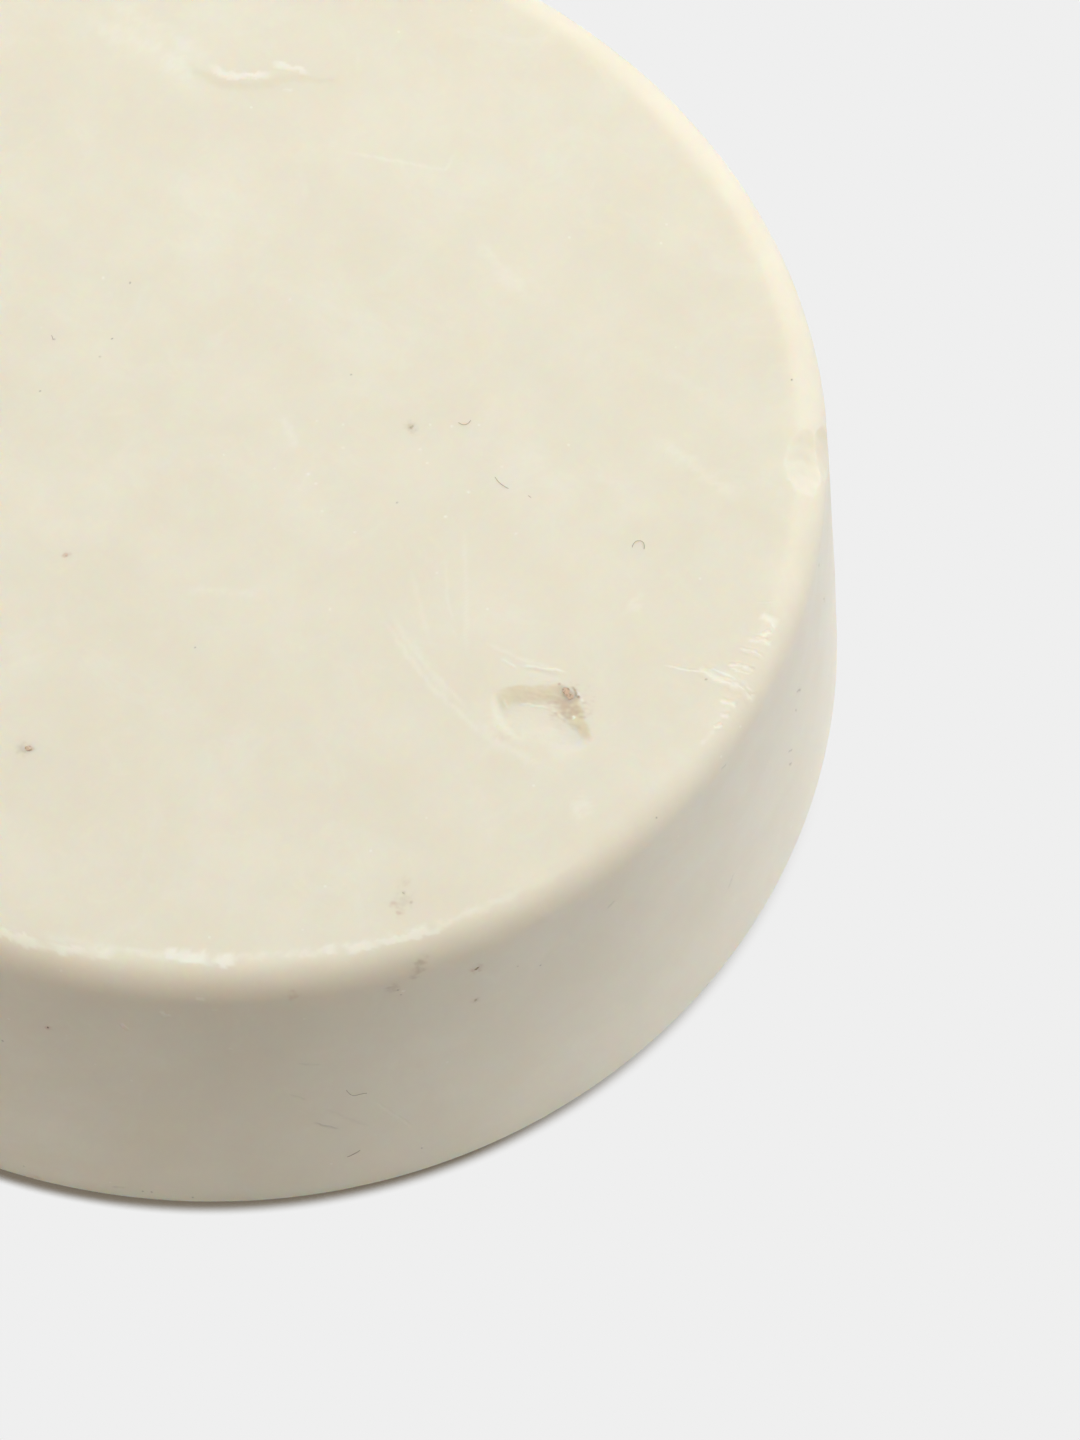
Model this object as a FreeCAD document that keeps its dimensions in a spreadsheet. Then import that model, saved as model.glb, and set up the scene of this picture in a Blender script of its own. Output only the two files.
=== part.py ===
import FreeCAD, Part
import Sketcher
import os

# A shaving soap puck: one cake of soap, cast in a slightly tapered round mould,
# lying on its wider face, with a few small angular grains set in its skin.
# Millimetres and degrees. +Z is up, z = 0 is the face it rests on, and the
# cake's axis is the Z axis. A bearing is counted from +X towards +Y.

SIZES = {
    # The cake
    "base_diameter": 70.0,
    "thickness": 23.5,
    "side_draft": 4.0,
    "rim_radius": 1.9,
    "foot_radius": 0.4,
    # Thumbnail mark in the top face: steep at the nail, running out at its open side
    "near_dent_inset": 7.2,
    "near_dent_bearing": -39.0,
    "near_dent_opening": -97.0,
    "near_dent_radius": 2.7,
    "near_dent_depth": 0.55,
    "near_dent_tilt": 12.0,
    # Wider and shallower mark on the far side of the top face
    "far_dent_inset": 14.6,
    "far_dent_bearing": 87.0,
    "far_dent_opening": -92.0,
    "far_dent_radius": 6.4,
    "far_dent_depth": 0.35,
    "far_dent_tilt": 7.0,
    # Chip knocked out of the rim, the scoop of a ball
    "chip_bearing": 2.0,
    "chip_ball_radius": 2.2,
    "chip_depth": 0.55,
    # Grains: flat crumbs with straight facets, standing a little proud of the soap
    "grain_facets": 6,
    "grain_thickness": 0.3,
    "grain_proud": 0.05,
    "red_grain_width": 0.6,
    "brown_grain_width": 0.5,
    # Where each grain lies: "reach" is from the cake's axis and "inset" from the
    # inner edge of the rim, both on the top face; "height" is up the side
    "red_grain_a_reach": 10.8,
    "red_grain_a_bearing": -134.0,
    "red_grain_b_inset": 10.1,
    "red_grain_b_bearing": -114.0,
    "red_grain_c_height": 5.6,
    "red_grain_c_bearing": 3.5,
    "brown_grain_a_reach": 10.7,
    "brown_grain_a_bearing": 8.0,
    "brown_grain_b_inset": 2.2,
    "brown_grain_b_bearing": -66.0,
    "brown_grain_c_height": 17.3,
    "brown_grain_c_bearing": -101.0,
    "brown_grain_d_height": 20.2,
    "brown_grain_d_bearing": -61.0,
    "brown_grain_e_height": 16.9,
    "brown_grain_e_bearing": -62.5,
}

# The grains of each colour, with the size that gives each its place.
RED_GRAINS = {"red_grain_a": "reach", "red_grain_b": "inset", "red_grain_c": "height"}
BROWN_GRAINS = {
    "brown_grain_a": "reach",
    "brown_grain_b": "inset",
    "brown_grain_c": "height",
    "brown_grain_d": "height",
    "brown_grain_e": "height",
}

# The rim arc's centre lies on this circle, which is also the edge of the flat top.
RIM_CENTRE_RADIUS = (
    "(Sizes.base_diameter / 2 - (Sizes.thickness - Sizes.rim_radius) * tan(Sizes.side_draft)"
    " - Sizes.rim_radius / cos(Sizes.side_draft))"
)

doc = FreeCAD.newDocument("shaving_soap_puck")


# --- The sheet of sizes -----------------------------------------------------

def write_sheet():
    sheet = doc.addObject("Spreadsheet::Sheet", "Sizes")
    for row, (alias, value) in enumerate(SIZES.items(), start=1):
        sheet.set(f"A{row}", alias)
        sheet.set(f"B{row}", str(value))
        sheet.setAlias(f"B{row}", alias)
    doc.recompute()


def placed(across, along, up, yaw, pitch):
    """Expression for a place, turned about Z after it is turned about Y."""
    return f"placement(vector({across}; {along}; {up}); rotation({yaw}; {pitch}; 0))"


def on_circle(radius, bearing):
    """Expressions for the two coordinates of a point on a circle about the axis."""
    return f"{radius} * cos({bearing})", f"{radius} * sin({bearing})"


# --- The cake: a tapered disc, turned, with a rounded rim and foot ------------

def draw_profile(body):
    """Half section of the cake, without its roundings."""
    sketch = body.newObject("Sketcher::SketchObject", "cake_profile")
    plane = next(f for f in body.Origin.OriginFeatures if f.Role == "XZ_Plane")
    sketch.AttachmentSupport = [(plane, "")]
    sketch.MapMode = "FlatFace"

    radius = SIZES["base_diameter"] / 2
    height = SIZES["thickness"]
    lean = 1.0
    corners = [(0, 0), (radius, 0), (radius - lean, height), (0, height)]
    points = [FreeCAD.Vector(x, y, 0) for x, y in corners]
    for start, end in zip(points, points[1:] + points[:1]):
        sketch.addGeometry(Part.LineSegment(start, end), False)

    base, side, top, axis = range(4)
    start, end = 1, 2
    for line, following in ((base, side), (side, top), (top, axis), (axis, base)):
        sketch.addConstraint(Sketcher.Constraint("Coincident", line, end, following, start))
    sketch.addConstraint(Sketcher.Constraint("Coincident", base, start, -1, 1))
    sketch.addConstraint(Sketcher.Constraint("Horizontal", base))
    sketch.addConstraint(Sketcher.Constraint("Horizontal", top))
    sketch.addConstraint(Sketcher.Constraint("Vertical", axis))
    driven = [
        (Sketcher.Constraint("DistanceX", base, start, base, end, radius), "Sizes.base_diameter / 2"),
        (Sketcher.Constraint("DistanceY", side, start, side, end, height), "Sizes.thickness"),
        (
            Sketcher.Constraint("DistanceX", side, end, side, start, lean),
            "Sizes.thickness * tan(Sizes.side_draft)",
        ),
    ]
    for constraint, expression in driven:
        index = sketch.addConstraint(constraint)
        sketch.setExpression(f"Constraints[{index}]", expression)
    return sketch


def outer_circle(shape, height):
    """Name of the round edge that bounds the flat face at this height."""
    for number, edge in enumerate(shape.Edges, start=1):
        if isinstance(edge.Curve, Part.Circle) and abs(edge.Curve.Center.z - height) < 1e-6:
            return f"Edge{number}"
    raise ValueError(f"no round edge at height {height}")


def round_edge(body, name, base, height, radius):
    doc.recompute()
    fillet = body.newObject("PartDesign::Fillet", name)
    fillet.Base = (base, [outer_circle(base.Shape, height)])
    fillet.Radius = SIZES[radius]
    fillet.setExpression("Radius", f"Sizes.{radius}")
    return fillet


def press_dent(body, dent):
    """Cut with the tilted end of a round bar: its low side leaves the steep nail mark."""
    bar = body.newObject("PartDesign::SubtractiveCylinder", dent)
    bar.setExpression("Radius", f"Sizes.{dent}_radius")
    bar.setExpression("Height", f"Sizes.{dent}_radius")
    reach = f"({RIM_CENTRE_RADIUS} - Sizes.{dent}_inset)"
    low_side = f"Sizes.thickness - Sizes.{dent}_depth + Sizes.{dent}_radius * sin(Sizes.{dent}_tilt)"
    across, along = on_circle(reach, f"Sizes.{dent}_bearing")
    opening, tilt = f"Sizes.{dent}_opening", f"-Sizes.{dent}_tilt"
    bar.setExpression("Placement", placed(across, along, low_side, opening, tilt))


def chip_rim(body):
    """Scoop a ball out of the rim, along the line at 45 degrees through the rim's arc."""
    ball = body.newObject("PartDesign::SubtractiveSphere", "rim_chip")
    ball.setExpression("Radius", "Sizes.chip_ball_radius")
    step = "(Sizes.rim_radius + Sizes.chip_ball_radius - Sizes.chip_depth) * cos(45)"
    across, along = on_circle(f"({RIM_CENTRE_RADIUS} + {step})", "Sizes.chip_bearing")
    up = f"Sizes.thickness - Sizes.rim_radius + {step}"
    ball.setExpression("Placement", placed(across, along, up, "Sizes.chip_bearing", "0"))


def make_cake_blank():
    body = doc.addObject("PartDesign::Body", "cake_blank")
    sketch = draw_profile(body)
    turned = body.newObject("PartDesign::Revolution", "turned_cake")
    turned.Profile = sketch
    turned.ReferenceAxis = (sketch, ["V_Axis"])
    turned.Angle = 360
    rim = round_edge(body, "rim_rounding", turned, SIZES["thickness"], "rim_radius")
    round_edge(body, "foot_rounding", rim, 0, "foot_radius")
    press_dent(body, "near_dent")
    press_dent(body, "far_dent")
    chip_rim(body)
    return body


# --- The grains, and the cake cast round them --------------------------------

def add_grain(grain, measure, colour):
    """A flat crumb, lying with its broad faces along the skin that it is set in."""
    crumb = doc.addObject("Part::Prism", grain)
    crumb.setExpression("Polygon", "Sizes.grain_facets")
    crumb.setExpression("Circumradius", f"Sizes.{colour}_grain_width / 2")
    crumb.setExpression("Height", "Sizes.grain_thickness")
    sunk = "(Sizes.grain_thickness - Sizes.grain_proud)"
    bearing = f"Sizes.{grain}_bearing"
    if measure == "height":
        height = f"Sizes.{grain}_height"
        skin = f"Sizes.base_diameter / 2 - {height} * tan(Sizes.side_draft)"
        reach = f"({skin} - {sunk} * cos(Sizes.side_draft))"
        up = f"{height} - {sunk} * sin(Sizes.side_draft)"
        pitch = "90 - Sizes.side_draft"
    else:
        from_axis = {"reach": f"Sizes.{grain}_reach", "inset": f"({RIM_CENTRE_RADIUS} - Sizes.{grain}_inset)"}
        reach = from_axis[measure]
        up = f"Sizes.thickness - {sunk}"
        pitch = "0"
    across, along = on_circle(reach, bearing)
    crumb.setExpression("Placement", placed(across, along, up, bearing, pitch))
    return crumb


def group_grains(label, colour, grains):
    group = doc.addObject("Part::Compound", label)
    group.Links = [add_grain(grain, measure, colour) for grain, measure in grains.items()]
    return group


def cast_round(label, body, groups):
    every_grain = doc.addObject("Part::Compound", "every_grain")
    every_grain.Links = groups
    cake = doc.addObject("Part::Cut", label)
    cake.Base = body
    cake.Tool = every_grain
    return cake


write_sheet()
cake_blank = make_cake_blank()
red_specks = group_grains("red_specks", "red", RED_GRAINS)
brown_specks = group_grains("brown_specks", "brown", BROWN_GRAINS)
soap_cake = cast_round("soap_cake", cake_blank, [red_specks, brown_specks])
doc.recompute()


# --- Checks, then one file for each sub-part ---------------------------------

sub_parts = {soap_cake: 1, red_specks: len(RED_GRAINS), brown_specks: len(BROWN_GRAINS)}

for item in doc.Objects:
    if "Invalid" in item.State or "Error" in item.State:
        raise RuntimeError(f"{item.Name} did not build: {item.State}")
for item, solids in sub_parts.items():
    if item.Shape.isNull() or not item.Shape.isValid() or len(item.Shape.Solids) != solids:
        raise RuntimeError(f"{item.Label} is not {solids} sound solids")

# Each mark really takes soap away, so the cut cake is lighter than the turned one.
volumes = [feature.Shape.Volume for feature in cake_blank.Group if feature.TypeId.startswith("PartDesign")]
for before, after in zip(volumes, volumes[1:]):
    if after >= before:
        raise RuntimeError("a mark in the cake cuts nothing")

os.makedirs("parts", exist_ok=True)
for item in sub_parts:
    item.Shape.exportStep(f"parts/{item.Label}.step")
    box = item.Shape.BoundBox
    print(
        f"{item.Label}: {len(item.Shape.Solids)} solids, {item.Shape.Volume:.3f} mm3,"
        f" x {box.XMin:.2f}..{box.XMax:.2f}, y {box.YMin:.2f}..{box.YMax:.2f}, z {box.ZMin:.2f}..{box.ZMax:.2f}"
    )
print("volume after each feature:", [round(volume, 2) for volume in volumes])
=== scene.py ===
# %% [markdown]
# # A puck of shaving soap
#
# A shaving soap puck is one cake of hard soap. It is cast in a round mould whose
# side leans a little, so that the cake lets go of it, and it stands on its wider
# face. There is nothing to assemble. All that the eye reads is one simple form and
# its skin: waxy, cream white, slightly see-through, and marked by handling.
#
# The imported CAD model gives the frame: the real size and place of the cake and of
# the grains in it. It is loaded first, and everything else is worked out from it.

# %% Load the frame
import math

import bmesh
import bpy
import numpy as np
from mathutils import Matrix, Vector, noise


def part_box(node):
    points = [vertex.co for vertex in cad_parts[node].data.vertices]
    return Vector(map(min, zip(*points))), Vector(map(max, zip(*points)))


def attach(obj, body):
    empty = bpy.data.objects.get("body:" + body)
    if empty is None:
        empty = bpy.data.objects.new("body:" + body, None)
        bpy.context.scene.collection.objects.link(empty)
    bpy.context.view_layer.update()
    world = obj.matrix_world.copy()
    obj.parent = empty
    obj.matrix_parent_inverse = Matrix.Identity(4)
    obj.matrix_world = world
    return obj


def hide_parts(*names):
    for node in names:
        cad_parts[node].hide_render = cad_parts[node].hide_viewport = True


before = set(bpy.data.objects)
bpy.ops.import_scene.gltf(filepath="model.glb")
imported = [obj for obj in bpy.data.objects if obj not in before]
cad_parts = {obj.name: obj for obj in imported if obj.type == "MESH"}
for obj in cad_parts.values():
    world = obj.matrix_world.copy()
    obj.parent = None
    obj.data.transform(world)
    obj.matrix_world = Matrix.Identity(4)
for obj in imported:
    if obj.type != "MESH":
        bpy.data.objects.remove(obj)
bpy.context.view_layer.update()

cake_low, cake_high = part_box("soap_cake")

# %% [markdown]
# ## The turned form
#
# The cake is a solid of revolution. Its half section has five stretches: the flat
# top, the rounded rim, the leaning side, the small round of the foot and the flat
# base. Working in millimetres keeps the numbers readable, and one factor turns them
# to metres at the end.
#
# The box of the CAD node gives the width and the height. The lean and the two
# roundings are the mould's own, so they are named here.

# %% The half section
MM = 0.001
THICKNESS = (cake_high[2] - cake_low[2]) / MM
SIDE_DRAFT = math.radians(4.0)
RIM_RADIUS = 1.9
FOOT_RADIUS = 0.4

# The foot's rounding trims the widest corner, so the corner lies a little outside the box.
trimmed = FOOT_RADIUS * (math.tan(SIDE_DRAFT) + 1 / math.cos(SIDE_DRAFT) - 1)
BASE_RADIUS = (cake_high[0] - cake_low[0]) / 2 / MM + trimmed


def arc_centre(height, radius):
    """Distance from the axis of a rounding's centre that lies at this height."""
    return BASE_RADIUS - height * math.tan(SIDE_DRAFT) - radius / math.cos(SIDE_DRAFT)


RIM_HEIGHT = THICKNESS - RIM_RADIUS
RIM_CENTRE = arc_centre(RIM_HEIGHT, RIM_RADIUS)
FOOT_CENTRE = arc_centre(FOOT_RADIUS, FOOT_RADIUS)
SIDE_OUT = np.array([math.cos(SIDE_DRAFT), math.sin(SIDE_DRAFT)])
print(f"base radius {BASE_RADIUS:.2f}, thickness {THICKNESS:.2f}, flat top radius {RIM_CENTRE:.2f} mm")

# %% [markdown]
# ## A mesh with room for detail
#
# A cylinder from the menu has one big many-sided face on top, and nothing can be
# pressed into that. A disc of rings has faces that crowd together in the middle.
# Here the top is a square grid eased on to a disc, which keeps its faces nearly
# square all over.

# %% The top as a grid
GRID_CELLS = 128
EDGE_POINTS = 4 * GRID_CELLS


def disc_grid(cells):
    """A square grid eased on to a disc of radius 1, as an array of points."""
    line = np.linspace(-1, 1, cells + 1)
    a, b = np.meshgrid(line, line, indexing="ij")
    wide = np.abs(a) > np.abs(b)
    reach = np.where(wide, a, b)
    safe = np.where(reach == 0, 1, reach)
    quarter = math.pi / 4
    turn = np.where(wide, quarter * b / safe, 2 * quarter - quarter * a / safe)
    return np.stack([reach * np.cos(turn), reach * np.sin(turn)], axis=-1)


def grid_edge(cells):
    """Grid places round the edge, in order, once."""
    along = range(cells)
    return (
        [(cells, j) for j in along]
        + [(cells - i, cells) for i in along]
        + [(0, cells - j) for j in along]
        + [(i, 0) for i in along]
    )


print("top:", GRID_CELLS, "by", GRID_CELLS, "cells,", EDGE_POINTS, "points round its edge")

# %% [markdown]
# The rim, the side and the foot go on from the grid's edge as rings, and a few more
# rings close the base. The two roundings get rings at equal angles, and the side
# gets them at equal heights.

# %% The rings below it
RIM_RINGS = 10
SIDE_RINGS = 36
FOOT_RINGS = 4
BASE_RINGS = 5


def rounding(centre, height, radius, angles):
    """Distance from the axis and height of places on a rounding."""
    return np.stack([centre + radius * np.cos(angles), height + radius * np.sin(angles)], axis=-1)


def ring_section():
    """Distance from the axis and height of each ring below the flat top."""
    rim_angles = np.linspace(math.pi / 2, SIDE_DRAFT, RIM_RINGS + 1)[1:]
    rim = rounding(RIM_CENTRE, RIM_HEIGHT, RIM_RADIUS, rim_angles)
    foot_angles = np.linspace(SIDE_DRAFT, -math.pi / 2, FOOT_RINGS + 1)
    foot = rounding(FOOT_CENTRE, FOOT_RADIUS, FOOT_RADIUS, foot_angles)
    share = np.linspace(0, 1, SIDE_RINGS + 1)[1:-1, None]
    side = rim[-1] * (1 - share) + foot[0] * share
    base = np.zeros((BASE_RINGS, 2))
    base[:, 0] = FOOT_CENTRE * (1 - np.arange(1, BASE_RINGS + 1) / (BASE_RINGS + 1))
    return np.concatenate([rim, side, foot, base])


print("rings:", len(ring_section()), "from the rim to the middle of the base")

# %% [markdown]
# The grid and the rings together are the *blank*: the turned cake before anything
# has happened to it. A bmesh holds it, because faces can be cut finer there later.

# %% The blank
def blank_mesh():
    """The turned cake, as points in millimetres and faces."""
    top = disc_grid(GRID_CELLS) * RIM_CENTRE
    side = GRID_CELLS + 1
    points = [np.column_stack([top.reshape(-1, 2), np.full(side * side, THICKNESS)])]
    number = np.arange(side * side).reshape(side, side)
    faces = [
        (number[i, j], number[i + 1, j], number[i + 1, j + 1], number[i, j + 1])
        for i in range(GRID_CELLS)
        for j in range(GRID_CELLS)
    ]

    edge = grid_edge(GRID_CELLS)
    ring = [number[place] for place in edge]
    heading = np.array([top[place] for place in edge]) / RIM_CENTRE
    count = side * side
    for reach, height in ring_section():
        points.append(np.column_stack([heading * reach, np.full(EDGE_POINTS, height)]))
        lower = list(range(count, count + EDGE_POINTS))
        for k in range(EDGE_POINTS):
            following = (k + 1) % EDGE_POINTS
            faces.append((ring[k], lower[k], lower[following], ring[following]))
        ring = lower
        count += EDGE_POINTS
    points.append(np.zeros((1, 3)))
    for k in range(EDGE_POINTS):
        faces.append((ring[k], count, ring[(k + 1) % EDGE_POINTS]))
    return np.concatenate(points), [tuple(int(corner) for corner in face) for face in faces]


blank_points, blank_faces = blank_mesh()
blank = bmesh.new()
for point in blank_points:
    blank.verts.new(point)
blank.verts.ensure_lookup_table()
for face in blank_faces:
    blank.faces.new([blank.verts[corner] for corner in face])
bmesh.ops.recalc_face_normals(blank, faces=blank.faces)
print("blank:", len(blank.verts), "points,", len(blank.faces), "faces")

# %% [markdown]
# ## Saying where a mark is
#
# Every mark on the soap needs a place. A place on the top is given as millimetres
# across and along. On the rim and the side it is easier to say a bearing, counted
# from the right-hand side towards the back, and then either how far the rim has
# leaned over from the flat top, or a height above the base. Each of these small
# functions answers with the point and the direction that the skin faces there.

# %% Places on the skin
UP = np.array([0.0, 0.0, 1.0])


def on_rim(bearing, lean):
    """A place on the rim: its bearing, and how far the skin there leans, both in degrees."""
    turn = math.radians(bearing)
    rise = math.radians(90 - lean)
    facing = np.array([math.cos(rise) * math.cos(turn), math.cos(rise) * math.sin(turn), math.sin(rise)])
    centre = np.array([RIM_CENTRE * math.cos(turn), RIM_CENTRE * math.sin(turn), RIM_HEIGHT])
    return centre + RIM_RADIUS * facing, facing


def on_top(across, along):
    """A place as seen from above: on the flat top, or on the rim beyond it."""
    reach = math.hypot(across, along)
    if reach <= RIM_CENTRE:
        return np.array([across, along, THICKNESS]), UP
    lean = math.asin((reach - RIM_CENTRE) / RIM_RADIUS)
    return on_rim(math.degrees(math.atan2(along, across)), math.degrees(lean))


def on_side(bearing, height):
    """A place on the leaning side: its bearing in degrees and its height above the base."""
    turn = math.radians(bearing)
    reach = BASE_RADIUS - height * math.tan(SIDE_DRAFT)
    point = np.array([reach * math.cos(turn), reach * math.sin(turn), height])
    return point, np.array([SIDE_OUT[0] * math.cos(turn), SIDE_OUT[0] * math.sin(turn), SIDE_OUT[1]])


def over_top(*places):
    """A path over the top, from pairs of numbers."""
    return [on_top(*place) for place in places]


def over_side(*places):
    """A path over the side, from pairs of a bearing and a height."""
    return [on_side(*place) for place in places]


print("middle of the rim in front:", on_rim(-90, 45)[0].round(2), "mm")

# %% [markdown]
# ## The marks that handling left
#
# Soap is soft, so a fingernail, a tool or the lid of a box leaves a record in it.
# The lists below name each mark in the order that the eye finds it. Numbers are in
# millimetres unless the name says otherwise.
#
# A *pressed edge* is a nail mark: soap is pushed down along a line, so that there
# is a short steep wall and a long floor that comes back up to the surface. The side
# that is pressed down is on the left of someone who walks along the path. The mark
# fades out towards the edge of an oval, so the path itself may run on beyond it.

# %% Pressed edges
# On each mark, the deeper cream of its steep wall stands for soap without its bloom and is partly painted
# shade
NAIL_MARK = {
    "path": over_top(
        (22.4, -19.2), (21.7, -17.2), (21.5, -16.55), (21.3, -16.0), (20.85, -14.9),
        (20.6, -14.25), (20.2, -13.8), (19.6, -13.65), (19.1, -13.7), (17.9, -13.8),
        (16.85, -13.95), (16.3, -14.25), (15.6, -14.5), (14.4, -14.7),
    ),
    "centre": (19.15, -15.1), "spread": (3.2, 3.1),
    "wall": 1.2, "depth": 0.2, "run_out": 2.6, "bare_and_shade": 0.44,
}
FOLD_MARK = {
    "path": over_top(
        (7.5, 22.9), (4.5, 22.75), (3.6, 22.95), (2.8, 23.0), (2.0, 22.8), (1.4, 22.45),
        (0.4, 22.25), (-0.7, 22.3), (-1.6, 22.6), (-2.6, 23.1), (-5.0, 24.4),
    ),
    "centre": (1.0, 22.2), "spread": (4.6, 2.6),
    "wall": 0.6, "depth": 0.045, "run_out": 1.5, "bare_and_shade": 0.12,
}
PRESSED_EDGES = [NAIL_MARK, FOLD_MARK]
print("pressed edges:", [mark["depth"] for mark in PRESSED_EDGES], "mm deep")

# %% [markdown]
# A *line* is anything long and thin: a lip of soap thrown up behind a nail mark, a
# crease in the cast skin, a burr or a scratch. Each has a path, half its width, its
# height (below zero is a furrow) and how much whiter the soap is along it, because
# rubbed or squeezed soap turns white. On the lips of the pressed edges and on the
# crest of the rim that whiteness is partly a painted highlight. Below zero that last
# number is dirt instead.

# %% Lines on the top
# The whiteness of the two lips is partly a painted highlight
FOLD_LINES = [
    (over_top((-2.1, 23.2), (-1.1, 22.65), (-0.3, 22.5), (0.4, 22.55), (1.2, 22.7), (1.9, 22.9)),
     0.25, 0.03, 0.5),
    (over_top((1.4, 23.4), (2.3, 23.4), (2.7, 23.25), (3.2, 23.2), (3.8, 22.8)), 0.19, 0.03, 0.5),
    (over_top((0.44, 22.8), (0.45, 22.3)), 0.05, -0.03, 0.0),
    (over_top((2.2, 21.8), (2.46, 21.91), (2.9, 21.9)), 0.12, 0.01, 0.4),
]
NAIL_LINES = [
    # The first line is the lip behind the mark; its whiteness is partly a painted highlight
    (over_top((17.4, -12.68), (18.2, -12.7), (18.7, -12.8), (19.3, -12.82), (20.1, -13.0)), 0.1, 0.022, 0.5),
    (over_top((17.6, -13.02), (18.6, -13.05), (19.8, -13.25)), 0.22, -0.022, 0.0),
    (over_top((16.3, -12.3), (16.63, -12.51), (17.3, -12.95)), 0.09, 0.02, 0.45),
    (over_top((17.5, -14.98), (17.9, -14.9), (18.3, -15.02), (18.8, -15.0), (19.2, -15.15)),
     0.12, 0.022, 0.4),
    (over_top((19.2, -15.2), (19.5, -15.3), (19.8, -15.55), (20.1, -15.75)), 0.1, 0.02, 0.3),
    (over_top((16.55, -14.75), (16.95, -15.3)), 0.1, 0.02, 0.45),
    (over_top((20.4, -15.5), (20.56, -15.64)), 0.12, 0.04, 0.9),
    (over_top((20.6, -14.05), (20.7, -14.25), (20.95, -14.7)), 0.07, 0.03, 0.7),
    (over_top((20.2, -13.75), (20.45, -14.0), (20.6, -14.4)), 0.07, -0.02, -0.4),
]
CREASES = [
    (over_top((5.4, 18.3), (8.6, 17.9), (11.5, 17.5), (12.2, 19.1)), 0.14, 0.008, 0.3),
    (over_top((-9.4, 26.0), (-5.15, 23.82), (-2.0, 22.1)), 0.8, 0.006, 0.25),
    (over_top((-8.2, 27.4), (-1.5, 23.15)), 0.6, 0.006, 0.22),
    (over_top((9.2, -9.6), (12.65, -14.3), (17.4, -18.6)), 0.2, 0.004, 0.3),
    (over_top((9.9, -9.7), (12.0, -12.6), (14.1, -15.4)), 0.3, 0.003, 0.22),
    (over_top((10.7, -11.3), (13.2, -13.9), (15.1, -15.9)), 0.14, 0.004, 0.3),
    (over_top((14.8, -15.9), (17.2, -17.9), (19.6, -19.0)), 0.35, 0.004, 0.25),
    (over_top((15.2, -11.3), (17.3, -12.3), (19.6, -12.8)), 0.14, 0.008, 0.25),
    (over_top((13.8, -3.9), (14.3, -8.9), (14.5, -13.0)), 0.14, 0.003, 0.22),
    (over_top((12.9, -6.0), (13.3, -9.0), (14.0, -12.0)), 0.12, 0.003, 0.2),
    (over_top((11.0, -6.7), (12.5, -11.8)), 0.16, 0.003, 0.2),
    (over_top((-1.1, -9.4), (3.6, -9.4)), 0.3, 0.003, 0.3),
    (over_top((3.7, 1.8), (4.5, -0.6)), 0.35, 0.003, 0.3),
    (over_top((13.3, 13.8), (14.9, 11.5), (17.1, 9.4)), 0.45, 0.003, 0.22),
    (over_top((23.4, 2.1), (26.5, 0.0), (29.0, -2.1)), 0.5, 0.003, 0.25),
    (over_top((23.0, -8.3), (23.8, -8.6)), 0.7, 0.004, 0.3),
    (over_top((20.6, -21.3), (21.8, -20.7)), 0.8, 0.004, 0.35),
]
print("lines on the top:", len(FOLD_LINES + NAIL_LINES + CREASES))

# %% [markdown]
# Where the puck was pushed over an edge, short furrows run across the rim. The soap
# in them is fresh, so they are the whitest places on it. Along the front the crest of
# the rim has a thin paler line all the way, which is a painted sheen, and three rubbed
# smears with hard ends, whose whiteness is partly a painted highlight.

# %% Lines on the rim and the side
RIM_SCUFFS = [
    (over_top((27.0, -12.05), (28.6, -12.75), (30.2, -13.5)), 0.24, -0.04, 0.6),
    (over_top((27.6, -12.15), (28.7, -12.5), (30.0, -13.1)), 0.12, 0.03, 0.6),
    (over_top((25.0, -12.06), (26.2, -12.2), (27.6, -12.4)), 0.07, -0.02, 0.5),
    (over_top((28.6, -11.75), (30.1, -11.93)), 0.12, -0.04, 0.55),
    (over_top((28.6, -12.05), (30.0, -12.25)), 0.1, 0.03, 0.5),
    (over_top((29.1, -10.7), (30.6, -11.1)), 0.12, -0.04, 0.5),
    (over_top((29.6, -10.1), (30.95, -10.18)), 0.16, -0.04, 0.55),
    (over_top((30.25, -9.9), (30.95, -9.5)), 0.12, -0.03, 0.5),
    (over_top((30.2, -8.65), (31.2, -9.02)), 0.32, -0.04, 0.6),
    (over_top((28.3, -13.95), (29.2, -14.12)), 0.18, -0.04, 0.55),
    (over_top((28.4, -14.87), (28.85, -14.75)), 0.14, -0.03, 0.55),
    (over_top((28.05, -15.6), (28.5, -15.35)), 0.12, -0.03, 0.55),
    (over_top((27.3, -16.8), (27.75, -16.2), (28.2, -15.7)), 0.2, 0.0, 0.4),
    (over_top((29.9, -7.9), (30.95, -7.8)), 0.06, -0.015, 0.3),
    (over_top((31.1, -0.1), (31.55, -0.4)), 0.08, 0.02, 0.4),
]
CREST_SHEEN_AND_SMEARS = [
    # The first is a thin line along the whole front of the crest: its paler colour is a painted sheen. The
    # other three are rubbed smears, partly painted highlight.
    ([on_rim(-108, 3), on_rim(-105, 3), on_top(-1.8, -31.4), on_top(3.3, -31.3), on_top(7.9, -30.6),
      on_rim(-68, 5), on_rim(-62.7, 7), on_rim(-55.3, 13), on_rim(-46.3, 23)], 0.3, 0.0, 0.4),
    (over_top((-11.4, -29.9), (-9.4, -30.65), (-7.6, -31.2), (-5.3, -31.5), (-2.9, -31.65)),
     0.27, -0.01, 0.6),
    (over_top((-0.7, -31.15), (0.8, -31.45), (2.2, -31.55), (3.4, -31.5)), 0.33, -0.012, 0.75),
    (over_top((7.6, -30.6), (9.4, -30.35), (11.0, -29.85), (12.8, -29.2), (14.5, -28.5)),
     0.25, -0.01, 0.55),
]
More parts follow.
